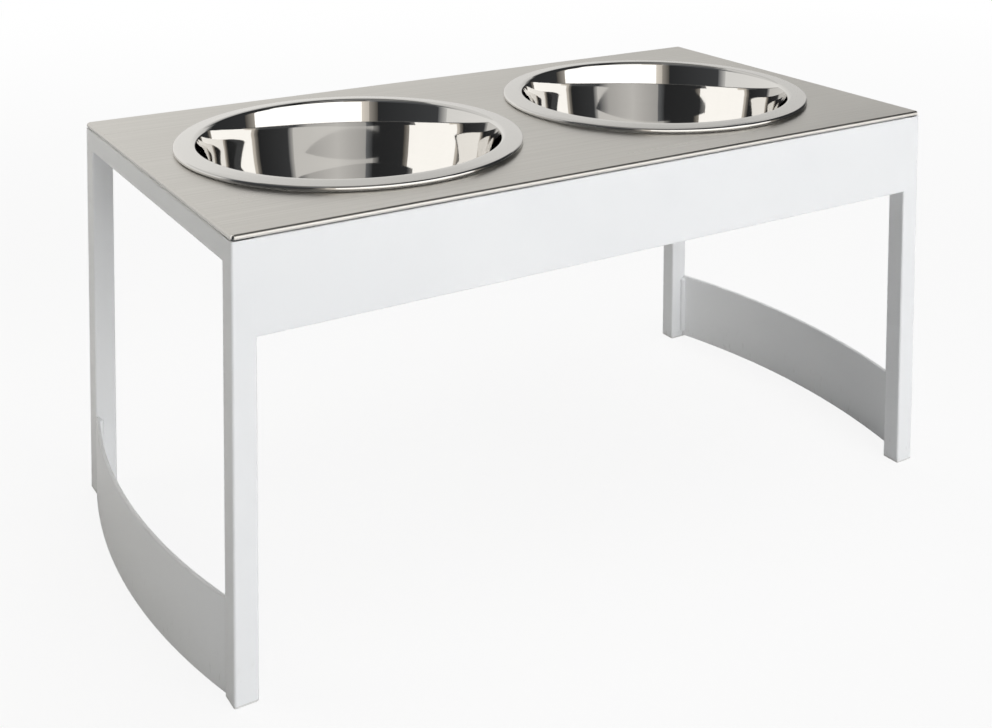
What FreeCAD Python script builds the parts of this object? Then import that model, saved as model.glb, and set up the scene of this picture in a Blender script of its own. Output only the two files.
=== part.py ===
import FreeCAD, Part
import math
import os

# Elevated dog feeder. Millimetres and degrees, +Z up, +Y towards the back.
# The origin is on the floor, under the middle of the feeder.

# Bowls
bowl_rim_radius = 127.0
bowl_lip = 15.0
bowl_depth = 82.0
bowl_sheet = 1.0
bowl_curl_bore = 1.4
bowl_floor_corner = 24.0
bowl_mouth_corner = 3.0
bowl_flare_deg = 17.2
bowl_neck_deg = 8.1
bowl_wall_taper_deg = 11.6
bowl_lip_slope_deg = 6.0
flare_depth_share = 0.136
flare_round_share = 0.82
neck_depth_share = 0.374
neck_round_share = 0.89
curl_round_share = 0.95
curl_return_share = 0.8

# Where the bowls lie in the tray
bowl_gap = 26.0
bowl_end_margin = 23.0
bowl_front_margin = 29.0
bowl_hole_clearance = 2.0
bowl_seat_gap = 0.3

# Tray
tray_sheet = 1.2
tray_lip = 3.0
tray_bend = 0.8
bend_limit_share = 0.8
tray_corner_relief = 1.8
lip_gap = 1.0

# Frame
frame_height = 285.0
tube_side = 16.0
tube_wall = 1.2
tube_corner_share = 1.4
bar_height = 60.0
bar_thickness = 3.0
bar_edge_share = 0.2
stretcher_sag = 18.0
weld_radius_share = 0.95
weld_end_share = 0.6
weld_stop = 5.0
weld_fill_share = 0.5

# Foot plugs
plug_head = 1.5
plug_chamfer_share = 0.3
plug_insert = 14.0
plug_wall = 1.6
plug_core_gap = 0.6
plug_rib_gap = 0.05
plug_rib_height = 1.2
plug_ribs = 3

# Cushion strips
strip_width = 8.0
strip_inset = 4.0
strip_end_gap = 2.0

# Corner tabs, studs, washers and nuts
tab_leg = 28.0
tab_snip = 3.0
tab_hole_clearance = 0.3
stud_inset_share = 0.36
stud_diameter = 4.0
stud_tail = 2.5
stud_flange_width_share = 1.4
stud_flange_height_share = 0.2
thread_clearance = 0.05
washer_width_share = 2.25
washer_height_share = 0.2
nut_flats_share = 1.75
nut_height_share = 0.8
nut_sides = 6

# One overrun serves every cut
overrun = 5.0

# The frame is as long and as deep as the bowls and their margins ask
bowl_x = bowl_gap / 2 + bowl_rim_radius
half_length = bowl_x + bowl_rim_radius + bowl_end_margin
half_depth = bowl_rim_radius + bowl_front_margin
inner_x = half_length - tube_side
inner_y = half_depth - tube_side
tube_corner = tube_wall * tube_corner_share
tube_inner_corner = tube_corner - tube_wall
tube_inside = tube_side - 2 * tube_wall
front_rail_y = half_depth - bar_thickness
bar_edge = bar_thickness * bar_edge_share
weld_fill = tube_corner * weld_fill_share
stud_radius = stud_diameter / 2

# Heights
rail_bottom = frame_height - tube_side
apron_bottom = frame_height - bar_height
stretcher_top = plug_head + bar_height
tray_top = frame_height + lip_gap + tray_lip
tray_under = tray_top - tray_sheet
tab_top = frame_height - tube_corner
tab_bottom = tab_top - bar_thickness
washer_bottom = tab_bottom - stud_diameter * washer_height_share
nut_bottom = washer_bottom - stud_diameter * nut_height_share

sides = {"left": -1, "right": 1}
ends = {"front": -1, "rear": 1}
corners = {f"{end}_{side}": (sides[side], ends[end]) for end in ends for side in sides}
along_x = FreeCAD.Vector(1, 0, 0)
along_y = FreeCAD.Vector(0, 1, 0)
along_z = FreeCAD.Vector(0, 0, 1)


def save(name, shape):
    shape.exportStep(f"parts/{name}.step")


def span(sign, near, far):
    # low and high coordinate between two distances from the middle, on the side of the sign
    return tuple(sorted((sign * near, sign * far)))


def both(distance):
    return (-distance, distance)


def block(x_span, y_span, z_span):
    low = FreeCAD.Vector(x_span[0], y_span[0], z_span[0])
    size = FreeCAD.Vector(x_span[1], y_span[1], z_span[1]) - low
    return Part.makeBox(size.x, size.y, size.z, low)


def edges_along(shape, axis):
    return [e for e in shape.Edges if round(abs(e.tangentAt(e.FirstParameter).dot(axis))) == 1]


def rounded_block(x_span, y_span, z_span, axis, radius):
    # a block whose four edges along the axis are rounded
    shape = block(x_span, y_span, z_span)
    return shape.makeFillet(radius, edges_along(shape, axis))


def tube(x_span, y_span, z_span, axis):
    # square tube along the axis, open at both ends
    spans = (x_span, y_span, z_span)
    grow = [overrun if axis[i] else -tube_wall for i in range(len(spans))]
    inside = [(low - g, high + g) for (low, high), g in zip(spans, grow)]
    outer = rounded_block(*spans, axis, tube_corner)
    return outer.cut(rounded_block(*inside, axis, tube_inner_corner))


def disc(radius, x, y, low, high):
    return Part.makeCylinder(radius, high - low, FreeCAD.Vector(x, y, low))


def post(width, x, y, low, high, corner):
    # upright square block with rounded corners
    half = width / 2
    return rounded_block((x - half, x + half), (y - half, y + half), (low, high), along_z, corner)


def leg_spans(side, end):
    return span(side, inner_x, half_length), span(end, inner_y, half_depth)


def without_legs(shape):
    # ground welds: a bar's end fills the rounded corner of the leg that it meets
    for side, end in corners.values():
        x_span, y_span = leg_spans(side, end)
        envelope = rounded_block(x_span, y_span, (-overrun, frame_height + overrun), along_z, tube_corner)
        shape = shape.cut(envelope)
    return shape


def make_legs():
    for name, (side, end) in corners.items():
        x_span, y_span = leg_spans(side, end)
        save(f"{name}_leg", tube(x_span, y_span, (plug_head, frame_height), along_z))


def make_rails():
    z_span = (rail_bottom, frame_height)
    rear = without_legs(tube(both(inner_x + weld_fill), (inner_y, half_depth), z_span, along_x))
    for name, side in sides.items():
        rail = tube(span(side, inner_x, half_length), both(inner_y + weld_fill), z_span, along_y)
        rail = without_legs(rail)
        rear = rear.cut(rail)
        save(f"{name}_top_rail", rail)
    save("rear_top_rail", rear)
    # the front rail stands back by the apron's thickness
    front = tube(both(inner_x), (-front_rail_y, tube_side - front_rail_y), z_span, along_x)
    save("front_top_rail", front)


def bar_section(near, far, low, high):
    # section of a flat bar in the XZ plane, its edges chamfered
    outline = [(near + bar_edge, low), (far - bar_edge, low), (far, low + bar_edge), (far, high - bar_edge),
               (far - bar_edge, high), (near + bar_edge, high), (near, high - bar_edge), (near, low + bar_edge)]
    points = [FreeCAD.Vector(x, 0, z) for x, z in outline]
    return Part.Face(Part.makePolygon(points + points[:1]))


def make_apron():
    length = 2 * (inner_x + weld_fill)
    quarter_turn_deg = math.degrees(math.pi / 2)
    section = bar_section(front_rail_y, half_depth, apron_bottom, frame_height)
    apron = section.extrude(along_y * length)
    apron.translate(along_y * (-length / 2))
    apron.rotate(FreeCAD.Vector(), along_z, -quarter_turn_deg)
    save("front_apron", without_legs(apron))


def make_stretchers():
    # flat bar on an arc whose outer face leaves the legs at their outer faces
    outer_radius = (inner_y ** 2 + stretcher_sag ** 2) / (2 * stretcher_sag)
    inner_radius = outer_radius - bar_thickness
    centre_x = half_length + stretcher_sag - outer_radius
    reach_deg = math.degrees(math.asin(half_depth / inner_radius))
    section = bar_section(inner_radius, outer_radius, plug_head, stretcher_top)
    section.rotate(FreeCAD.Vector(), along_z, -reach_deg)
    bar = section.revolve(FreeCAD.Vector(), along_z, 2 * reach_deg)
    bar = bar.common(block((0, outer_radius + overrun), both(inner_y + weld_fill), both(frame_height)))
    # one upright weld bead inside each end
    weld_radius = bar_thickness * weld_radius_share
    weld_x = math.sqrt(inner_radius ** 2 - inner_y ** 2)
    for end in ends.values():
        bead = disc(weld_radius, weld_x, end * inner_y, plug_head + weld_stop, stretcher_top - weld_stop)
        rims = [e for e in bead.Edges if e.isClosed()]
        bar = bar.fuse(bead.makeFillet(weld_radius * weld_end_share, rims))
    bar.translate(FreeCAD.Vector(centre_x, 0, 0))
    for name, side in sides.items():
        placed = bar.copy()
        if side < 0:
            placed.rotate(FreeCAD.Vector(), along_z, math.degrees(math.pi))
        save(f"{name}_stretcher", without_legs(placed).removeSplitter())


def make_foot_plugs():
    insert_top = plug_head + plug_insert
    core_width = tube_inside - 2 * plug_core_gap
    rib_width = tube_inside - 2 * plug_rib_gap
    rib_pitch = plug_insert / (plug_ribs + 1)
    for name, (side, end) in corners.items():
        middle = side * (half_length - tube_side / 2), end * (half_depth - tube_side / 2)
        head = post(tube_side, *middle, 0, plug_head, tube_corner)
        under = [e for e in head.Edges if e.BoundBox.ZMax < plug_head / 2]
        plug = head.makeChamfer(plug_head * plug_chamfer_share, under)
        plug = plug.fuse(post(core_width, *middle, 0, insert_top, tube_inner_corner))
        for number in range(plug_ribs):
            low = plug_head + rib_pitch * (number + 1) - plug_rib_height / 2
            plug = plug.fuse(post(rib_width, *middle, low, low + plug_rib_height, tube_inner_corner))
        hollow = post(core_width - 2 * plug_wall, *middle, plug_head, insert_top + overrun, tube_inner_corner)
        save(f"{name}_foot_plug", plug.cut(hollow).removeSplitter())


def make_tray():
    outer = block(both(half_length), both(half_depth), (tray_top - tray_lip, tray_top))
    inner_spans = both(half_length - tray_sheet), both(half_depth - tray_sheet)
    inner = block(*inner_spans, (tray_top - tray_lip - overrun, tray_under))
    bend = min(tray_bend, (tray_lip - tray_sheet) * bend_limit_share)
    rims = [e for e in outer.Edges if e.BoundBox.ZMin > tray_under]
    outer = outer.makeFillet(bend + tray_sheet, rims)
    inner_rims = [e for e in inner.Edges if e.BoundBox.ZMin > tray_under - bend]
    tray = outer.cut(inner.makeFillet(bend, inner_rims))
    z_span = (tray_top - tray_lip - overrun, tray_top + overrun)
    for side, end in corners.values():
        tray = tray.cut(disc(tray_corner_relief, side * half_length, end * half_depth, *z_span))
    hole_radius = bowl_rim_radius - bowl_lip + bowl_hole_clearance
    for side in sides.values():
        tray = tray.cut(disc(hole_radius, side * bowl_x, 0, *z_span))
    save("top_tray", tray)


def make_cushion_strips():
    z_span = (frame_height, tray_under)
    far_x = half_length - strip_inset
    for name, side in sides.items():
        x_span = span(side, far_x - strip_width, far_x)
        save(f"{name}_cushion_strip", block(x_span, both(inner_y - strip_end_gap), z_span))
    for name, end in ends.items():
        far_y = (front_rail_y if end < 0 else half_depth) - strip_inset
        y_span = span(end, far_y - strip_width, far_y)
        save(f"{name}_cushion_strip", block(both(inner_x - strip_end_gap), y_span, z_span))


def tab_corner(side, end):
    # the inner corner of the rails
    return side * inner_x, end * (inner_y if end > 0 else front_rail_y - tube_side)


def stud_place(side, end):
    x, y = tab_corner(side, end)
    inset = tab_leg * stud_inset_share
    return x - side * inset, y - end * inset


def make_corner_tabs():
    outline = [(0, 0), (tab_leg, 0), (tab_leg, tab_snip), (tab_snip, tab_leg), (0, tab_leg), (0, 0)]
    for name, (side, end) in corners.items():
        x, y = tab_corner(side, end)
        points = [FreeCAD.Vector(x - side * u, y - end * v, tab_bottom) for u, v in outline]
        tab = Part.Face(Part.makePolygon(points)).extrude(along_z * bar_thickness)
        hole_radius = stud_radius + tab_hole_clearance
        hole = disc(hole_radius, *stud_place(side, end), tab_bottom - overrun, tab_top + overrun)
        save(f"{name}_corner_tab", tab.cut(hole))


def make_fixings():
    studs = []
    washers = []
    nuts = []
    flange_bottom = tray_under - stud_diameter * stud_flange_height_share
    nut_radius = stud_radius * nut_flats_share / math.cos(math.pi / nut_sides)
    turns = [2 * math.pi * n / nut_sides for n in range(nut_sides + 1)]
    for side, end in corners.values():
        x, y = stud_place(side, end)
        stud = disc(stud_radius, x, y, nut_bottom - stud_tail, tray_under)
        flange = disc(stud_radius * stud_flange_width_share, x, y, flange_bottom, tray_under)
        studs.append(stud.fuse(flange).removeSplitter())
        bore = disc(stud_radius + thread_clearance, x, y, nut_bottom - overrun, tab_top)
        washers.append(disc(stud_radius * washer_width_share, x, y, washer_bottom, tab_bottom).cut(bore))
        points = [FreeCAD.Vector(x + nut_radius * math.cos(a), y + nut_radius * math.sin(a), nut_bottom)
                  for a in turns]
        nut = Part.Face(Part.makePolygon(points)).extrude(along_z * (washer_bottom - nut_bottom))
        nuts.append(nut.cut(bore))
    save("tray_studs", Part.makeCompound(studs))
    save("stud_washers", Part.makeCompound(washers))
    save("stud_nuts", Part.makeCompound(nuts))


def offset_path(points, radii, offset):
    # corners and radii of a path moved sideways, to its left where the offset is above zero
    runs = [(b - a).normalize() for a, b in zip(points, points[1:])]
    lefts = [along_y.cross(run).negative() for run in runs]
    moved = [points[0] + lefts[0] * offset]
    moved_radii = []
    for i, radius in enumerate(radii):
        before, after = lefts[i], lefts[i + 1]
        moved.append(points[i + 1] + (before + after) * (offset / (1 + before.dot(after))))
        turns_left = runs[i + 1].dot(before) > 0
        moved_radii.append(radius - offset if turns_left else radius + offset)
    moved.append(points[-1] + lefts[-1] * offset)
    return moved, moved_radii


def rounded_path(points, radii):
    # straight runs joined by tangent arcs
    edges = []
    start = points[0]
    for i, radius in enumerate(radii):
        corner = points[i + 1]
        back = (points[i] - corner).normalize()
        on = (points[i + 2] - corner).normalize()
        half_angle = back.getAngle(on) / 2
        middle = (back + on).normalize()
        arc_start = corner + back * (radius / math.tan(half_angle))
        arc_end = corner + on * (radius / math.tan(half_angle))
        arc_middle = corner + middle * (radius / math.sin(half_angle) - radius)
        edges.append(Part.LineSegment(start, arc_start).toShape())
        edges.append(Part.Arc(arc_start, arc_middle, arc_end).toShape())
        start = arc_end
    edges.append(Part.LineSegment(start, points[-1]).toShape())
    return edges


def bent_sheet(points, radii, thickness):
    # the section of a sheet bent along a path, half its thickness to each side
    left_points, left_radii = offset_path(points, radii, thickness / 2)
    right_points, right_radii = offset_path(points, radii, -thickness / 2)
    edges = rounded_path(left_points, left_radii) + rounded_path(right_points, right_radii)
    edges.append(Part.LineSegment(left_points[0], right_points[0]).toShape())
    edges.append(Part.LineSegment(left_points[-1], right_points[-1]).toShape())
    return Part.Face(Part.Wire(Part.__sortEdges__(edges)))


def make_bowls():
    # the middle of the sheet, from the floor's centre to the end of the rolled edge
    mouth_r = bowl_rim_radius - bowl_lip
    curl_r = bowl_rim_radius - bowl_sheet / 2
    curl_low = tray_top + bowl_seat_gap + bowl_sheet / 2
    curl_high = curl_low + bowl_curl_bore + bowl_sheet
    mouth_z = curl_high + (curl_r - mouth_r) * math.tan(math.radians(bowl_lip_slope_deg))
    floor_z = mouth_z - bowl_depth
    # the wall is steepest at a neck, flares out to the mouth above it and tapers to the floor below
    flare_depth = bowl_depth * flare_depth_share
    neck_depth = bowl_depth * neck_depth_share
    flare_r = mouth_r - flare_depth * math.tan(math.radians(bowl_flare_deg))
    neck_r = flare_r - (neck_depth - flare_depth) * math.tan(math.radians(bowl_neck_deg))
    floor_r = neck_r - (bowl_depth - neck_depth) * math.tan(math.radians(bowl_wall_taper_deg))
    flare_reach = flare_depth * flare_round_share
    neck_reach = (neck_depth - flare_depth - flare_reach) * neck_round_share
    flare_radius = flare_reach / math.tan(math.radians(bowl_flare_deg - bowl_neck_deg) / 2)
    neck_radius = neck_reach / math.tan(math.radians(bowl_wall_taper_deg - bowl_neck_deg) / 2)
    curl_end_r = curl_r - (curl_high - curl_low) * curl_return_share
    outline = [(0, floor_z), (floor_r, floor_z), (neck_r, mouth_z - neck_depth), (flare_r, mouth_z - flare_depth),
               (mouth_r, mouth_z), (curl_r, curl_high), (curl_r, curl_low), (curl_end_r, curl_low)]
    curl_corner = (bowl_sheet + bowl_curl_bore * curl_round_share) / 2
    radii = [bowl_floor_corner, neck_radius, flare_radius, bowl_mouth_corner, curl_corner, curl_corner]
    section = bent_sheet([FreeCAD.Vector(r, 0, z) for r, z in outline], radii, bowl_sheet)
    full_turn_deg = math.degrees(2 * math.pi)
    bowl = section.revolve(FreeCAD.Vector(), along_z, full_turn_deg)
    for name, side in sides.items():
        placed = bowl.copy()
        placed.translate(FreeCAD.Vector(side * bowl_x, 0, 0))
        save(f"{name}_bowl", placed)


os.makedirs("parts", exist_ok=True)
make_legs()
make_rails()
make_apron()
make_stretchers()
make_foot_plugs()
make_corner_tabs()
make_cushion_strips()
make_tray()
make_fixings()
make_bowls()
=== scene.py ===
import bmesh
import bpy
import math
from mathutils import Matrix, Vector


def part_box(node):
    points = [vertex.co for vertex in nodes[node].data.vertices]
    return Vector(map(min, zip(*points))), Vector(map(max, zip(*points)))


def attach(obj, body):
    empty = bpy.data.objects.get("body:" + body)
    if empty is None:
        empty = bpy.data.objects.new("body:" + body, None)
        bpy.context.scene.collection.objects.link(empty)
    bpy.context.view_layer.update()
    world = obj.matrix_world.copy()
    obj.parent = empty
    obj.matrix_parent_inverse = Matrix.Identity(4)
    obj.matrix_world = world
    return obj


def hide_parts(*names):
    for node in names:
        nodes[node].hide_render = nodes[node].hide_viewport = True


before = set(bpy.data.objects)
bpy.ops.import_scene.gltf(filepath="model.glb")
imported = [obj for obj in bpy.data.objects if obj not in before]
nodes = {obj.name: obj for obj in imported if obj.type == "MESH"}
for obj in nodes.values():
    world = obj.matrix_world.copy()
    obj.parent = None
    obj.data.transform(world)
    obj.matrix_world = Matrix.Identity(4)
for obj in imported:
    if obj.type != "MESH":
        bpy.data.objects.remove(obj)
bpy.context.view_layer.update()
sideSigns = {"left": -1, "right": 1}
endSigns = {"front": -1, "rear": 1}
print("frame loaded:", len(nodes), "nodes")


# Shader wiring

class Wire:
    # wraps a socket: sums on it add Math nodes, and node() adds any other kind
    def __init__(self, tree, socket=None):
        self.tree = tree
        self.socket = socket

    def node(self, kind, settings, inputs, output=0):
        made = self.tree.nodes.new("ShaderNode" + kind)
        for name, value in settings.items():
            if name == "stops":
                setStops(made.color_ramp, value)
            else:
                setattr(made, name, value)
        for name, value in inputs.items():
            if isinstance(value, Wire):
                self.tree.links.new(value.socket, made.inputs[name])
            else:
                made.inputs[name].default_value = value
        return Wire(self.tree, made.outputs[output] if made.outputs else None)

    def math(self, operation, first, second=0.0):
        return self.node("Math", {"operation": operation}, {0: first, 1: second})

    def clamped(self):
        return self.node("Clamp", {}, {"Value": self})

    def __add__(self, other):
        return self.math("ADD", self, other)

    def __radd__(self, other):
        return self.math("ADD", other, self)

    def __sub__(self, other):
        return self.math("SUBTRACT", self, other)

    def __rsub__(self, other):
        return self.math("SUBTRACT", other, self)

    def __mul__(self, other):
        return self.math("MULTIPLY", self, other)

    def __rmul__(self, other):
        return self.math("MULTIPLY", other, self)

    def __truediv__(self, other):
        return self.math("DIVIDE", self, other)

    def __rtruediv__(self, other):
        return self.math("DIVIDE", other, self)


def setStops(ramp, stops):
    while len(ramp.elements) < len(stops):
        ramp.elements.new(1.0)
    for element, (position, value) in zip(ramp.elements, stops):
        element.position = position
        element.color = (value, value, value, 1.0)


def startFinish(name):
    finish = bpy.data.materials.new(name)
    finish.use_nodes = True
    finish.node_tree.nodes.clear()
    return finish, Wire(finish.node_tree)


def closeFinish(start, inputs):
    shader = start.node("BsdfPrincipled", {}, inputs)
    start.node("OutputMaterial", {}, {"Surface": shader})


def grain(start, stretch, detail, centre=(0, 0, 0)):
    # noise whose cells are as large as the stretch says, in metres along each axis
    place = start.node("TexCoord", {}, {}, "Object")
    scale = [1 / size for size in stretch]
    moved = [-c * s for c, s in zip(centre, scale)]
    mapped = start.node("Mapping", {}, {"Vector": place, "Scale": scale, "Location": moved})
    return start.node("TexNoise", {}, {"Vector": mapped, "Scale": 1.0, "Detail": detail})


noiseMiddle = 0.5


def swing(noise, share):
    # noise that goes as far below zero as above it
    return (noise - noiseMiddle) * share


def mixColour(start, factor, first, second):
    return start.node("Mix", {"data_type": "RGBA"}, {0: factor, 6: first, 7: second}, 2)


def ramp(start, value, stops):
    return start.node("ValToRGB", {"stops": stops}, {"Fac": value})


def bump(start, height, depth, before=None):
    inputs = {"Height": height, "Distance": depth, "Strength": 1.0}
    if before is not None:
        inputs["Normal"] = before
    return start.node("Bump", {}, inputs)


# Finishes, with their grain sizes in metres

coatLook = {
    "colour": (0.845, 0.856, 0.865, 1),
    "shade": (0.815, 0.828, 0.842, 1),
    "scuff": (0.56, 0.56, 0.55, 1),
    "roughness": 0.34,
    "cloudRoughness": 0.12,
    "scuffRoughness": 0.25,
    "cloudSize": 0.09,
    "cloudStops": [(0.3, 0.0), (0.7, 1.0)],
    "peelSize": 0.0016,
    "peelDepth": 0.000012,
    "scuffSize": (0.0035, 0.0035, 0.009),
    "scuffStops": [(0.62, 0.0), (0.74, 1.0)],
    "scuffShare": 0.5,
    "scuffHeight": 0.03,
}


def makeCoat():
    look = coatLook
    finish, start = startFinish("white_powder_coat")
    cloud = grain(start, [look["cloudSize"]] * 3, detail=3.0)
    peel = grain(start, [look["peelSize"]] * 3, detail=1.0)
    speck = grain(start, look["scuffSize"], detail=3.0)
    # light scuffs close to the floor
    place = start.node("TexCoord", {}, {}, "Object")
    height = start.node("SeparateXYZ", {}, {"Vector": place}, "Z")
    low = (1 - height / look["scuffHeight"]).clamped()
    scuff = ramp(start, speck, look["scuffStops"]) * low * look["scuffShare"]
    base = mixColour(start, ramp(start, cloud, look["cloudStops"]), look["shade"], look["colour"])
    uneven = swing(cloud, look["cloudRoughness"]) + scuff * look["scuffRoughness"]
    closeFinish(start, {
        "Base Color": mixColour(start, scuff, base, look["scuff"]),
        "Roughness": look["roughness"] + uneven,
        "Normal": bump(start, peel, look["peelDepth"]),
    })
    return finish


trayLook = {
    "light": (0.78, 0.765, 0.735, 1),
    "dark": (0.645, 0.63, 0.60, 1),
    "roughness": 0.32,
    "wideRoughness": 0.16,
    "smearRoughness": 0.14,
    "fineSize": (0.11, 0.0004, 0.0004),  # the brushing runs along the tray
    "wideSize": (0.25, 0.0022, 0.0022),
    "smearSize": (0.11, 0.06, 0.06),
    "fineShare": 0.45,
    "wideShare": 0.35,
    "smearShare": 0.2,
    "toneStops": [(0.36, 0.0), (0.64, 1.0)],
    "wideHeight": 0.6,  # beside the fine lines
    "grainDepth": 0.000004,
}


def makeTraySteel():
    look = trayLook
    finish, start = startFinish("brushed_steel")
    fine = grain(start, look["fineSize"], detail=2.0)
    wide = grain(start, look["wideSize"], detail=3.0)
    smear = grain(start, look["smearSize"], detail=4.0)
    tone = fine * look["fineShare"] + wide * look["wideShare"] + smear * look["smearShare"]
    uneven = swing(wide, look["wideRoughness"]) + swing(smear, look["smearRoughness"])
    closeFinish(start, {
        "Base Color": mixColour(start, ramp(start, tone, look["toneStops"]), look["dark"], look["light"]),
        "Metallic": 1.0,
        "Roughness": look["roughness"] + uneven,
        "Normal": bump(start, fine + wide * look["wideHeight"], look["grainDepth"]),
    })
    return finish


bowlLook = {
    "light": (0.82, 0.812, 0.80, 1),
    "dark": (0.77, 0.762, 0.75, 1),
    "roughness": 0.03,
    "lineRoughness": 0.03,
    "hazeRoughness": 0.03,
    "lipRoughness": 0.13,  # added on the lip, which is only satin
    "lipFade": 0.002,
    "curlWidth": 0.0022,  # the rolled edge is polished again
    "waveSize": 0.035,
    "waveDepth": 0.000012,
    "lineSize": 0.0007,
    "lineDepth": 0.0000002,
    "hazeSize": 0.03,
    "lineShare": 0.5,
    "hazeShare": 0.5,
}


def makeBowlSteel(name, centre, mouth, rim):
    look = bowlLook
    finish, start = startFinish(name)
    place = start.node("TexCoord", {}, {}, "Object")
    flat = start.node("Mapping", {}, {
        "Vector": place,
        "Location": (-centre.x, -centre.y, 0),
        "Scale": (1, 1, 0),
    })
    reach = start.node("VectorMath", {"operation": "LENGTH"}, {0: flat}, "Value")
    height = start.node("SeparateXYZ", {}, {"Vector": place}, "Z")
    # polishing lines run round the bowl, so they change only with the radius and the height
    lineSize = look["lineSize"]
    around = start.node("CombineXYZ", {}, {"X": reach / lineSize, "Y": height / lineSize})
    lines = start.node("TexNoise", {}, {"Vector": around, "Scale": 1.0, "Detail": 2.0})
    wave = grain(start, [look["waveSize"]] * 3, 1.0, centre)
    haze = grain(start, [look["hazeSize"]] * 3, 4.0, centre)
    waved = bump(start, wave, look["waveDepth"])
    inside = ((reach - mouth) / look["lipFade"]).clamped()
    outside = ((rim - look["curlWidth"] - reach) / look["lipFade"] + 1).clamped()
    lip = inside * outside * look["lipRoughness"]
    tone = lines * look["lineShare"] + haze * look["hazeShare"]
    uneven = swing(lines, look["lineRoughness"]) + swing(haze, look["hazeRoughness"])
    closeFinish(start, {
        "Base Color": mixColour(start, tone, look["dark"], look["light"]),
        "Metallic": 1.0,
        "Roughness": look["roughness"] + lip + uneven,
        "Normal": bump(start, lines, look["lineDepth"], waved),
    })
    return finish


foamLook = {
    "dark": (0.010, 0.010, 0.011, 1),
    "light": (0.045, 0.045, 0.047, 1),
    "roughness": 0.85,
    "cellRoughness": 0.12,
    "cellSize": 0.0007,
    "cellDepth": 0.00025,
    "cellShare": 0.7,
    "patchSize": 0.02,
    "patchShare": 0.3,
}


def makeFoam():
    look = foamLook
    finish, start = startFinish("dark_foam")
    cells = grain(start, [look["cellSize"]] * 3, detail=2.0)
    patch = grain(start, [look["patchSize"]] * 3, detail=2.0)
    tone = cells * look["cellShare"] + patch * look["patchShare"]
    closeFinish(start, {
        "Base Color": mixColour(start, tone, look["dark"], look["light"]),
        "Roughness": look["roughness"] + cells * look["cellRoughness"],
        "Normal": bump(start, cells, look["cellDepth"]),
    })
    return finish


plugLook = {
    "dark": (0.60, 0.60, 0.59, 1),
    "light": (0.76, 0.76, 0.75, 1),
    "roughness": 0.46,
    "patchRoughness": 0.14,
    "patchSize": (0.012, 0.012, 0.004),
    "textureSize": 0.0006,
    "textureDepth": 0.00002,
}


def makePlugPlastic():
    look = plugLook
    finish, start = startFinish("moulded_plastic")
    texture = grain(start, [look["textureSize"]] * 3, detail=1.0)
    patch = grain(start, look["patchSize"], detail=3.0)
    closeFinish(start, {
        "Base Color": mixColour(start, patch, look["dark"], look["light"]),
        "Roughness": look["roughness"] + patch * look["patchRoughness"],
        "Normal": bump(start, texture, look["textureDepth"]),
    })
    return finish


zincLook = {
    "dark": (0.47, 0.49, 0.52, 1),
    "light": (0.68, 0.69, 0.70, 1),
    "roughness": 0.28,
    "toneRoughness": 0.2,
    "spanglesPerMetre": 700.0,
    "spangleShare": 0.6,
    "patchSize": 0.004,
    "patchShare": 0.4,
    "patchDepth": 0.00002,
}


def makeZinc():
    look = zincLook
    finish, start = startFinish("zinc_plate")
    place = start.node("TexCoord", {}, {}, "Object")
    spangle = start.node("TexVoronoi", {}, {"Vector": place, "Scale": look["spanglesPerMetre"]}, "Color")
    shade = start.node("SeparateColor", {}, {"Color": spangle}, 0)
    patch = grain(start, [look["patchSize"]] * 3, detail=3.0)
    tone = shade * look["spangleShare"] + patch * look["patchShare"]
    closeFinish(start, {
        "Base Color": mixColour(start, tone, look["dark"], look["light"]),
        "Metallic": 1.0,
        "Roughness": look["roughness"] + tone * look["toneRoughness"],
        "Normal": bump(start, patch, look["patchDepth"]),
    })
    return finish


coat = makeCoat()
traySteel = makeTraySteel()
slotFinishes = {
    "white_coat": coat,
    "brushed_tray": traySteel,
    "foam": makeFoam(),
    "plug_plastic": makePlugPlastic(),
    "zinc": makeZinc(),
}
for node in nodes.values():
    for materialSlot in node.material_slots:
        if materialSlot.material.name in slotFinishes:
            materialSlot.material = slotFinishes[materialSlot.material.name]
print("finishes made:", len(slotFinishes))


# Pieces

mergeReach = 0.000001
evenNormals = {"mode": "FACE_AREA", "weight": 100, "keep_sharp": False}


def finishPiece(bm, name, finish, body, slot, *replaced):
    # closes seams, turns the faces out, and puts the piece on its body
    bmesh.ops.remove_doubles(bm, verts=bm.verts, dist=mergeReach)
    bmesh.ops.recalc_face_normals(bm, faces=bm.faces)
    mesh = bpy.data.meshes.new(name)
    bm.to_mesh(mesh)
    bm.free()
    mesh.materials.append(finish)
    for polygon in mesh.polygons:
        polygon.use_smooth = True
    piece = bpy.data.objects.new(name, mesh)
    bpy.context.scene.collection.objects.link(piece)
    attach(piece, body)
    if replaced:
        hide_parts(*replaced)
    return piece


def addModifier(piece, kind, settings):
    modifier = piece.modifiers.new(kind.lower(), kind)
    for name, value in settings.items():
        setattr(modifier, name, value)


def addBox(bm, middle, size):
    place = Matrix.Translation(middle) @ Matrix.Diagonal((*size, 1))
    return bmesh.ops.create_cube(bm, size=1.0, matrix=place)["verts"]


def roundEdges(bm, edges, radius, steps):
    bmesh.ops.bevel(bm, geom=edges, offset=radius, offset_type="OFFSET", affect="EDGES", segments=steps,
                    profile=0.5, material=-1)


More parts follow.
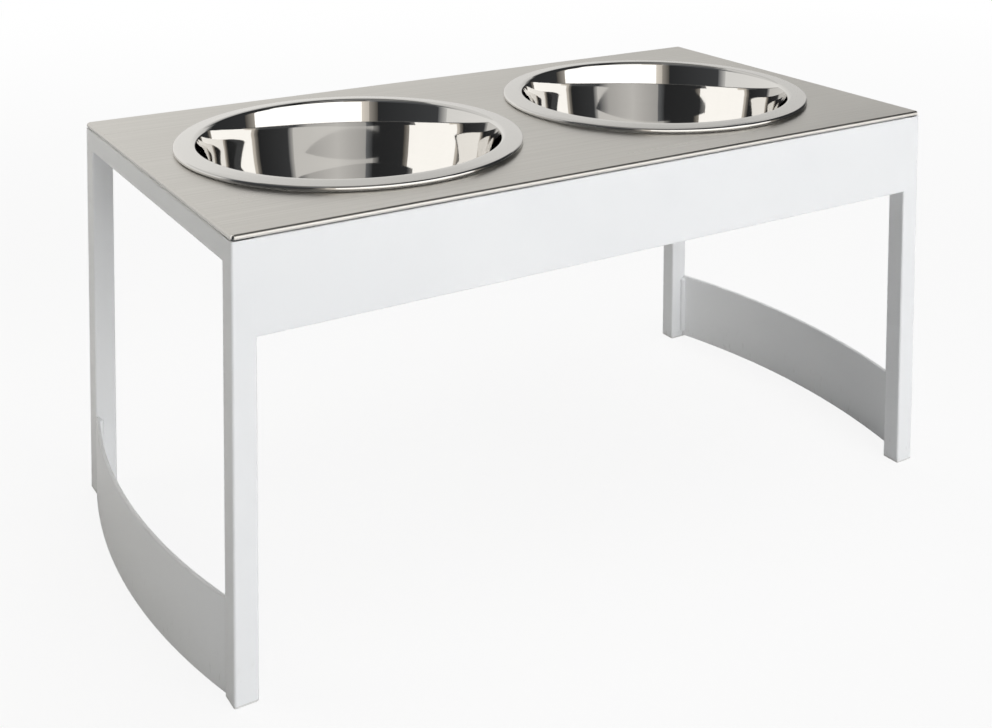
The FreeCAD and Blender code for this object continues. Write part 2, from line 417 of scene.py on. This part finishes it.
bowlShape = {
    "steps": 256,  # round the rim
    "rowLength": 0.004,  # along straight runs of the section
    "sheet": 0.001,
    "lip": 0.015,
    "lipSlope": 6.0,
    "seatGap": 0.0003,
    "curlHeight": 0.0024,  # between the middles of the sheet
    "curlReturn": 0.8,
    "flare": 17.2,  # lean of the wall at the mouth, in degrees
    "neck": 8.1,  # at the steepest place
    "taper": 11.6,  # and from there to the floor
    "flareShare": 0.136,  # of the depth, down to the corner between mouth and neck
    "flareRound": 0.82,  # of that depth, taken up by the bend on each side of its corner
    "neckShare": 0.374,
    "neckRound": 0.89,
    "floorCorner": 0.024,
    "mouthCorner": 0.003,
    "curlCorner": 0.001165,
    "arcSteps": (20, 16, 16, 10, 8, 8),  # from the floor's corner out to the curl
}


def bentLine(bm, points, radii, arcSteps, rowLength):
    # straight runs, cut into rows, joined by round arcs
    last = bm.verts.new(points[0])
    straight = []

    def runTo(place):
        made = bmesh.ops.extrude_vert_indiv(bm, verts=[last])
        made["verts"][0].co = place
        straight.append(made["edges"][0])
        return made["verts"][0]

    for before, corner, after, radius, steps in zip(points, points[1:], points[2:], radii, arcSteps):
        back = (before - corner).normalized()
        on = (after - corner).normalized()
        halfAngle = back.angle(on) / 2
        last = runTo(corner + back * radius / math.tan(halfAngle))
        middle = corner + (back + on).normalized() * radius / math.sin(halfAngle)
        axis = on.cross(back).normalized()
        made = bmesh.ops.spin(bm, geom=[last], cent=middle, axis=axis, dvec=(0, 0, 0),
                              angle=math.pi - 2 * halfAngle, steps=steps, use_duplicate=False)
        last = made["geom_last"][0]
    runTo(points[-1])
    for edge in straight:
        rows = int(edge.calc_length() / rowLength)
        if rows:
            bmesh.ops.subdivide_edges(bm, edges=[edge], cuts=rows)


def makeBowl(side):
    shape = bowlShape
    name = side + "_bowl"
    low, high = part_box(name)
    centre = (low + high) / 2
    rim = (high.y - low.y) / 2 - shape["sheet"] / 2
    mouth = (high.y - low.y) / 2 - shape["lip"]
    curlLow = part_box("top_tray")[1].z + shape["seatGap"] + shape["sheet"] / 2
    curlHigh = curlLow + shape["curlHeight"]
    mouthZ = curlHigh + (rim - mouth) * math.tan(math.radians(shape["lipSlope"]))
    floorZ = low.z + shape["sheet"] / 2
    flare, neck, taper = [math.radians(shape[key]) for key in ("flare", "neck", "taper")]
    depth = mouthZ - floorZ
    flareDepth = depth * shape["flareShare"]
    neckDepth = depth * shape["neckShare"]
    flareEdge = mouth - flareDepth * math.tan(flare)
    neckEdge = flareEdge - (neckDepth - flareDepth) * math.tan(neck)
    floorEdge = neckEdge - (depth - neckDepth) * math.tan(taper)
    flareReach = flareDepth * shape["flareRound"]
    neckReach = (neckDepth - flareDepth - flareReach) * shape["neckRound"]
    # the middle of the sheet, from the centre of the floor out to the end of the curl
    outline = [
        (0, floorZ),
        (floorEdge, floorZ),
        (neckEdge, mouthZ - neckDepth),
        (flareEdge, mouthZ - flareDepth),
        (mouth, mouthZ),
        (rim, curlHigh),
        (rim, curlLow),
        (rim - shape["curlHeight"] * shape["curlReturn"], curlLow),
    ]
    radii = [
        shape["floorCorner"],
        neckReach / math.tan((taper - neck) / 2),
        flareReach / math.tan((flare - neck) / 2),
        shape["mouthCorner"],
        shape["curlCorner"],
        shape["curlCorner"],
    ]
    points = [Vector((centre.x + reach, centre.y, z)) for reach, z in outline]
    bm = bmesh.new()
    bentLine(bm, points, radii, shape["arcSteps"], shape["rowLength"])
    bmesh.ops.spin(bm, geom=bm.verts[:] + bm.edges[:], cent=centre, axis=(0, 0, 1), dvec=(0, 0, 0),
                   angle=2 * math.pi, steps=shape["steps"], use_merge=True, use_duplicate=False)
    finish = makeBowlSteel("polished_" + name, centre, mouth, rim)
    piece = finishPiece(bm, "polished_" + name, finish, name, "polished_bowl", name)
    addModifier(piece, "SOLIDIFY", {"thickness": shape["sheet"], "offset": 0.0, "use_even_offset": True})


for side in sideSigns:
    makeBowl(side)
print("bowls spun")


trayShape = {
    "sheet": 0.0012,
    "bend": 0.002,  # outer radius of the bend
    "bendSteps": 8,
    "holeClearance": 0.002,
    "holeSegments": 160,
    "edgeBevel": 0.00015,
    "bevelSteps": 2,
    "bevelAngle": 50,  # in degrees, between faces that count as an edge
}


def makeTray():
    shape = trayShape
    low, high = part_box("top_tray")
    flatX = high.x - shape["bend"]
    flatY = high.y - shape["bend"]
    bm = bmesh.new()
    places = ((-flatX, -flatY), (flatX, -flatY), (flatX, flatY), (-flatX, flatY))
    corners = [bm.verts.new((x, y, high.z)) for x, y in places]
    border = [bm.edges.new((corners[i - 1], corners[i])) for i in range(len(corners))]
    holeEdges = []
    for side in sideSigns:
        bowlLow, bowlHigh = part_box(side + "_bowl")
        middle = (bowlLow + bowlHigh) / 2
        radius = (bowlHigh.y - bowlLow.y) / 2 - bowlShape["lip"] + shape["holeClearance"]
        ring = bmesh.ops.create_circle(bm, cap_ends=False, segments=shape["holeSegments"], radius=radius,
                                       matrix=Matrix.Translation((middle.x, middle.y, high.z)))
        holeEdges += {edge for vert in ring["verts"] for edge in vert.link_edges}
    bmesh.ops.triangle_fill(bm, edges=border + holeEdges, use_beauty=True, normal=(0, 0, 1))
    # each side is bent down round its own line, so the corners stay open
    for edge in border:
        first, second = [vert.co.copy() for vert in edge.verts]
        outward = Vector((first.x + second.x, first.y + second.y, 0)).normalized()
        pivot = (first + second) / 2 - Vector((0, 0, shape["bend"]))
        axis = Vector((0, 0, 1)).cross(outward)
        made = bmesh.ops.spin(bm, geom=[edge], cent=pivot, axis=axis, dvec=(0, 0, 0), angle=math.pi / 2,
                              steps=shape["bendSteps"], use_merge=False, use_duplicate=False)
        last = [e for e in made["geom_last"] if isinstance(e, bmesh.types.BMEdge)]
        drop = bmesh.ops.extrude_edge_only(bm, edges=last)
        for vert in drop["geom"]:
            if isinstance(vert, bmesh.types.BMVert):
                vert.co.z = low.z
    piece = finishPiece(bm, "tray_sheet", traySteel, "frame", "brushed_tray", "top_tray")
    addModifier(piece, "SOLIDIFY", {"thickness": shape["sheet"], "offset": -1.0, "use_even_offset": True})
    addModifier(piece, "BEVEL", {
        "width": shape["edgeBevel"],
        "segments": shape["bevelSteps"],
        "limit_method": "ANGLE",
        "angle_limit": math.radians(shape["bevelAngle"]),
    })
    addModifier(piece, "WEIGHTED_NORMAL", evenNormals)


makeTray()
print("tray bent")


foamShape = {
    "edge": 0.0009,  # rounding of the edges
    "edgeSteps": 4,
    "sharpAngle": 45,  # in degrees, between faces that count as an edge
    "rowLength": 0.004,
    "squeeze": 0.0003,  # how far the sides wander in and out
    "squeezeLength": 0.031,
    "squeezeFade": 67,  # radians per metre of the slower change
    "fill": 0.7,
}


def makeFoamStrip(side):
    # a soft strip squeezed a little unevenly under the tray
    shape = foamShape
    node = side + "_cushion_strip"
    low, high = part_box(node)
    size = high - low
    middle = (low + high) / 2
    long = 0 if size.x > size.y else 1
    across = 1 - long
    bm = bmesh.new()
    addBox(bm, middle, size)
    lengthwise = [e for e in bm.edges if abs(e.verts[0].co[long] - e.verts[1].co[long]) > size[long] / 2]
    rows = int(size[long] / shape["rowLength"])
    bmesh.ops.subdivide_edges(bm, edges=lengthwise, cuts=rows, use_grid_fill=True)
    edges = [e for e in bm.edges if e.calc_face_angle(0) > math.radians(shape["sharpAngle"])]
    roundEdges(bm, edges, shape["edge"], shape["edgeSteps"])
    for vert in bm.verts:
        along = vert.co[long]
        turns = along / shape["squeezeLength"]
        wander = math.sin(turns * 2 * math.pi) * math.sin(along * shape["squeezeFade"])
        inward = shape["squeeze"] * (1 + wander) / 2
        vert.co[across] -= math.copysign(inward, vert.co[across] - middle[across])
    piece = finishPiece(bm, side + "_foam_strip", slotFinishes["foam"], "frame", "foam", node)


for side in ("left", "right", "front", "rear"):
    makeFoamStrip(side)
print("foam strips laid")


weldShape = {
    "inset": 0.0031,  # bead's middle, from the outside of the leg
    "clear": 0.005,  # of the bottom and the top of the bar
    "radius": 0.00305,
    "ripple": 0.00016,
    "pitch": 0.0021,
    "crest": 0.55,  # of the pitch, from a ripple's valley up to its crest
    "endShare": 0.6,  # of the radius, by which the bead's tips stand past its ends
    "quickSwell": 0.00012,  # two slow changes in the bead's radius
    "quickRate": 1.7,
    "quickStart": 40,  # radians per metre, so that no two beads are alike
    "slowSwell": 0.0001,
    "slowRate": 0.63,
    "slowStart": 30,
    "steps": 28,
    "seam": 0.00084,  # a rail runs this far into the leg's rounded corner
    "groundWidth": 0.0024,
    "groundDepth": 0.0004,
    "proud": 0.00002,
    "groundEdge": 0.00016,
    "groundSteps": 2,
    "tubeCorner": 0.00168,
}


def addBead(bm, side, end):
    # a rippled bead up the inside corner between a stretcher and a leg
    shape = weldShape
    legLow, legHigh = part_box(f"{end}_{side}_leg")
    barLow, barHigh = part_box(side + "_stretcher")
    x = legLow.x + shape["inset"] if side == "left" else legHigh.x - shape["inset"]
    y = legHigh.y if end == "front" else legLow.y
    bottom = barLow.z + shape["clear"]
    top = barHigh.z - shape["clear"]
    tip = shape["radius"] * shape["endShare"]
    count = round((top - bottom) / shape["pitch"])
    path = [Vector((x, y, bottom - tip))]
    for i in range(count + 1):
        z = bottom + (top - bottom) * i / count
        quick = shape["quickSwell"] * math.sin(i * shape["quickRate"] + x * shape["quickStart"])
        slow = shape["slowSwell"] * math.sin(i * shape["slowRate"] + y * shape["slowStart"])
        reach = shape["radius"] + quick + slow
        path.append(Vector((x + reach - shape["ripple"], y, z)))
        path.append(Vector((x + reach + shape["ripple"], y, z + shape["pitch"] * shape["crest"])))
    path.append(Vector((x, y, top + tip + shape["pitch"])))
    line = [bm.verts.new(place) for place in path]
    edges = [bm.edges.new(pair) for pair in zip(line, line[1:])]
    bmesh.ops.spin(bm, geom=line + edges, cent=(x, y, 0), axis=(0, 0, 1), dvec=(0, 0, 0), angle=2 * math.pi,
                   steps=shape["steps"], use_merge=True, use_duplicate=False)


def addGround(bm, middle, size):
    # a weld ground flush: a shallow strip over the seam
    corners = addBox(bm, middle, size)
    edges = list({edge for vert in corners for edge in vert.link_edges})
    roundEdges(bm, edges, weldShape["groundEdge"], weldShape["groundSteps"])


def makeWelds():
    shape = weldShape
    beads = bmesh.new()
    ground = bmesh.new()
    apronLow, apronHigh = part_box("front_apron")
    sunk = shape["groundDepth"] / 2 - shape["proud"]
    for side, sideSign in sideSigns.items():
        railLow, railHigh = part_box(side + "_top_rail")
        railHeight = railHigh.z - railLow.z - 2 * shape["tubeCorner"]
        railMiddle = (railHigh.z + railLow.z) / 2
        for end, endSign in endSigns.items():
            addBead(beads, side, end)
            legLow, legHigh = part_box(f"{end}_{side}_leg")
            outerX = legHigh.x if sideSign > 0 else legLow.x
            outerY = legHigh.y if endSign > 0 else legLow.y
            seamX = (legLow.x if sideSign > 0 else legHigh.x) + sideSign * shape["seam"]
            seamY = (legLow.y if endSign > 0 else legHigh.y) + endSign * shape["seam"]
            addGround(ground, (outerX - sideSign * sunk, seamY, railMiddle),
                      (shape["groundDepth"], shape["groundWidth"], railHeight))
            if end == "front":
                height = apronHigh.z - apronLow.z - 2 * shape["tubeCorner"]
                middle = (apronHigh.z + apronLow.z) / 2
            else:
                height = railHeight
                middle = railMiddle
            addGround(ground, (seamX, outerY - endSign * sunk, middle),
                      (shape["groundWidth"], shape["groundDepth"], height))
    finishPiece(beads, "stretcher_weld_beads", coat, "frame", "white_coat")
    piece = finishPiece(ground, "ground_welds", coat, "frame", "white_coat")
    addModifier(piece, "WEIGHTED_NORMAL", evenNormals)


makeWelds()
print("welds added")


# Stage

stageLook = {
    "floorRadius": 30.0,
    "floorSegments": 96,
    "floorDrop": 0.0001,  # keeps the floor just under the feet
    "floorColour": (0.84, 0.84, 0.84, 1),
    "nearWhite": 0.88,  # share of plain white on the floor round the feeder
    "floorMirrored": 0.2,  # share of that white which mirrors see
    "fadeFrom": 0.8,
    "fadeTo": 2.4,
    "ambient": 0.03,
    "cardReach": 2.4,
    "cardSteps": 24,
    "darkBelow": 0.3,  # levels under this take the dark tint
    "ceiling": 4.2,
    "ceilingOverlap": 1.02,  # of the cards' reach, so that no gap shows
    "ceilingSegments": 64,
    "ceilingLevels": (0.3, 0.02),
    "ceilingMiddle": 330,  # of the azimuths that its levels are graded over
    "ceilingWidth": 300,
}


def linkStage(bm, name, finish):
    mesh = bpy.data.meshes.new(name)
    bm.to_mesh(mesh)
    bm.free()
    mesh.materials.append(finish)
    made = bpy.data.objects.new(name, mesh)
    bpy.context.scene.collection.objects.link(made)
    return made


def seenDirectly(start, mirrored):
    # 1 for what the camera sees, the mirrored share for what metal reflects, 0 for light on the part
    camera = start.node("LightPath", {}, {}, "Is Camera Ray")
    mirror = start.node("LightPath", {}, {}, "Is Glossy Ray")
    return (camera + mirror * mirrored).clamped()


def makeFloor():
    look = stageLook
    finish, start = startFinish("pale_floor")
    place = start.node("TexCoord", {}, {}, "Object")
    reach = start.node("VectorMath", {"operation": "LENGTH"}, {0: place}, "Value")
    fade = ((reach - look["fadeFrom"]) / (look["fadeTo"] - look["fadeFrom"])).clamped()
    whiteShare = look["nearWhite"] + (1 - look["nearWhite"]) * fade
    seen = seenDirectly(start, look["floorMirrored"])
    white = start.node("Emission", {}, {"Color": (1, 1, 1, 1), "Strength": 1.0})
    lit = start.node("BsdfDiffuse", {}, {"Color": look["floorColour"]})
    mixed = start.node("MixShader", {}, {0: seen * whiteShare, 1: lit, 2: white})
    start.node("OutputMaterial", {}, {"Surface": mixed})
    bm = bmesh.new()
    bmesh.ops.create_circle(bm, cap_ends=True, segments=look["floorSegments"], radius=look["floorRadius"],
                            matrix=Matrix.Translation((0, 0, -look["floorDrop"])))
    linkStage(bm, "floor", finish)


# reflection cards round the stage, each with its level at either end
# azimuth 0 is behind the feeder and 90 to its right
paleTint = (1.0, 0.985, 0.95)
darkTint = (0.93, 0.96, 1.0)
warmTint = (1.0, 0.93, 0.83)
shoulder = 1.45  # height at which the upper cards begin
whiteTop = 2.2
lowTier = (0.0, shoulder)
midTier = (shoulder, whiteTop)
headTier = (whiteTop, stageLook["ceiling"])
highTier = (shoulder, stageLook["ceiling"])
cards = [
    {"name": "white_card", "from": 124, "to": 217, "tier": lowTier, "levels": (1.5, 1.5)},
    {"name": "cream_post", "from": 217, "to": 223, "tier": lowTier, "levels": (0.82, 0.6), "tint": warmTint},
    {"name": "grey_post", "from": 223, "to": 230, "tier": lowTier, "levels": (0.34, 0.08), "tint": warmTint},
    {"name": "left_flag", "from": 230, "to": 281, "tier": lowTier, "levels": (0.03, 0.06)},
    {"name": "rear_edge", "from": 281, "to": 289, "tier": lowTier, "levels": (0.12, 0.6)},
    {"name": "rear_card", "from": 289, "to": 360, "tier": lowTier, "levels": (0.8, 0.88)},
    {"name": "rear_right_card", "from": 0, "to": 60, "tier": lowTier, "levels": (0.88, 0.62)},
    {"name": "right_edge", "from": 60, "to": 72, "tier": lowTier, "levels": (0.4, 0.05)},
    {"name": "right_flag", "from": 72, "to": 114, "tier": lowTier, "levels": (0.03, 0.04)},
    {"name": "right_post", "from": 114, "to": 124, "tier": lowTier, "levels": (0.06, 0.4), "tint": warmTint},
    {"name": "white_top", "from": 136, "to": 202, "tier": midTier, "levels": (1.5, 1.5)},
    {"name": "cream_top", "from": 202, "to": 224, "tier": midTier, "levels": (0.98, 0.6), "tint": warmTint},
    {"name": "dark_head", "from": 136, "to": 224, "tier": headTier, "levels": (0.02, 0.02)},
    {"name": "left_top_edge", "from": 224, "to": 232, "tier": highTier, "levels": (0.3, 0.1)},
    {"name": "left_top_flag", "from": 232, "to": 292, "tier": highTier, "levels": (0.10, 0.09)},
    {"name": "rear_top_edge", "from": 292, "to": 312, "tier": highTier, "levels": (0.12, 0.56)},
    {"name": "rear_top_card", "from": 312, "to": 360, "tier": highTier, "levels": (0.56, 0.74)},
    {"name": "rear_top_fade", "from": 0, "to": 48, "tier": highTier, "levels": (0.74, 0.5)},
    {"name": "right_top_edge", "from": 48, "to": 60, "tier": highTier, "levels": (0.2, 0.05)},
    {"name": "right_top_flag", "from": 60, "to": 126, "tier": highTier, "levels": (0.03, 0.04)},
    {"name": "right_top_post", "from": 126, "to": 136, "tier": highTier, "levels": (0.08, 0.3)},
]


def hideCard(made):
    # a card is only there for what metal and paint reflect
    made.visible_camera = False
    made.visible_diffuse = False
    made.visible_shadow = False


def makeGlow(name, middle, width, levels, tint=None):
    # grades from one level to the other along the card's azimuth
    finish, start = startFinish(name)
    place = start.node("TexCoord", {}, {}, "Object")
    turned = start.node("Mapping", {}, {"Vector": place, "Rotation": (0, 0, math.radians(middle))})
    right = start.node("SeparateXYZ", {}, {"Vector": turned}, "X")
    ahead = start.node("SeparateXYZ", {}, {"Vector": turned}, "Y")
    share = right.math("ARCTAN2", right, ahead) / math.radians(width) + 0.5
    ends = []
    for level in levels:
        shade = tint or (darkTint if level < stageLook["darkBelow"] else paleTint)
        ends.append((*(level * part for part in shade), 1))
    colour = mixColour(start, share.clamped(), *ends)
    glow = start.node("Emission", {}, {"Color": colour, "Strength": 1.0})
    start.node("OutputMaterial", {}, {"Surface": glow})
    return finish


def makeCard(card):
    low, top = card["tier"]
    width = card["to"] - card["from"]
    bm = bmesh.new()
    foot = bm.verts.new((0, stageLook["cardReach"], low))
    head = bm.verts.new((0, stageLook["cardReach"], top))
    edge = bm.edges.new((foot, head))
    bmesh.ops.rotate(bm, verts=[foot, head], cent=(0, 0, 0),
                     matrix=Matrix.Rotation(-math.radians(card["from"]), 3, "Z"))
    bmesh.ops.spin(bm, geom=[foot, head, edge], cent=(0, 0, 0), axis=(0, 0, 1), dvec=(0, 0, 0),
                   angle=-math.radians(width), steps=stageLook["cardSteps"], use_duplicate=False)
    middle = (card["from"] + card["to"]) / 2
    glow = makeGlow(card["name"], middle, width, card["levels"], card.get("tint"))
    hideCard(linkStage(bm, card["name"], glow))


def makeCeiling():
    look = stageLook
    radius = look["cardReach"] * look["ceilingOverlap"]
    bm = bmesh.new()
    bmesh.ops.create_circle(bm, cap_ends=True, segments=look["ceilingSegments"], radius=radius,
                            matrix=Matrix.Translation((0, 0, look["ceiling"])))
    glow = makeGlow("ceiling_card", look["ceilingMiddle"], look["ceilingWidth"], look["ceilingLevels"])
    hideCard(linkStage(bm, "ceiling_card", glow))


def makeWorld():
    world = bpy.data.worlds.new("studio")
    bpy.context.scene.world = world
    world.use_nodes = True
    world.node_tree.nodes.clear()
    start = Wire(world.node_tree)
    strength = stageLook["ambient"] + (1 - stageLook["ambient"]) * seenDirectly(start, 1.0)
    back = start.node("Background", {}, {"Color": (1, 1, 1, 1), "Strength": strength})
    start.node("OutputWorld", {}, {"Surface": back})


lamps = [
    {"name": "front_softbox", "place": (0.25, -2.7, 0.85), "aim": (0, 0, 0.2),
     "size": (2.2, 1.7), "radiance": 4.45},
    {"name": "top_softbox", "place": (0.7, -0.3, 2.6), "aim": (0, 0, 0.2),
     "size": (2.2, 2.4), "radiance": 2.0},
    {"name": "left_fill", "place": (-0.9, 0.3, 0.7), "aim": (-0.29, 0.1, 0.25),
     "size": (0.5, 0.5), "radiance": 2.9, "tint": (1.0, 0.965, 0.89)},
    {"name": "rear_softbox", "place": (0.7, 2.6, 1.0), "aim": (0, 0, 0.2),
     "size": (2.2, 1.6), "radiance": 2.6},
]


def makeLamp(look):
    light = bpy.data.lights.new(look["name"], "AREA")
    light.shape = "RECTANGLE"
    light.color = look.get("tint", (1, 1, 1))
    light.size, light.size_y = look["size"]
    light.energy = look["radiance"] * math.pi * light.size * light.size_y
    lamp = bpy.data.objects.new(look["name"], light)
    lamp.location = look["place"]
    lamp.rotation_euler = (Vector(look["aim"]) - Vector(look["place"])).to_track_quat("-Z", "Y").to_euler()
    lamp.visible_camera = False
    lamp.visible_glossy = False
    bpy.context.scene.collection.objects.link(lamp)


cameraLook = {
    "place": (-0.5765, -0.9298, 0.5620),
    "azimuth": -32.88,
    "pitch": 3.63,
    "roll": 0.38,
    "focal": 1404.6,  # in pixels of the image
    "ahead": (540.5, -140.8),  # pixel straight ahead, above the image because its uprights are straightened
    "imageSize": (992, 728),
    "sensor": 36,
}


def makeCamera():
    look = cameraLook
    width, height = look["imageSize"]
    turn = Matrix.Rotation(math.radians(look["azimuth"]), 4, "Z")
    tilt = Matrix.Rotation(math.radians(90 - look["pitch"]), 4, "X")
    roll = Matrix.Rotation(math.radians(look["roll"]), 4, "Z")
    # the rig leans the view down off the camera's axis, so that upright legs stay upright
    faceX, faceY = look["ahead"]
    leaning = Vector(((faceX - width / 2) / look["focal"], (height / 2 - faceY) / look["focal"], 1))
    lean = Matrix.Identity(4)
    lean.col[2] = (*leaning.normalized(), 0)
    data = bpy.data.cameras.new("camera")
    data.sensor_width = look["sensor"]
    data.lens = look["focal"] * leaning.length * look["sensor"] / width
    rig = bpy.data.objects.new("camera_rig", None)
    camera = bpy.data.objects.new("camera", data)
    camera.parent = rig
    camera.matrix_parent_inverse = Matrix.Translation(look["place"]) @ turn @ tilt @ roll @ lean
    bpy.context.scene.collection.objects.link(rig)
    bpy.context.scene.collection.objects.link(camera)
    bpy.context.scene.camera = camera


makeFloor()
for card in cards:
    makeCard(card)
makeCeiling()
makeWorld()
for look in lamps:
    makeLamp(look)
makeCamera()
bpy.context.scene.view_settings.view_transform = "Standard"
print("stage set")
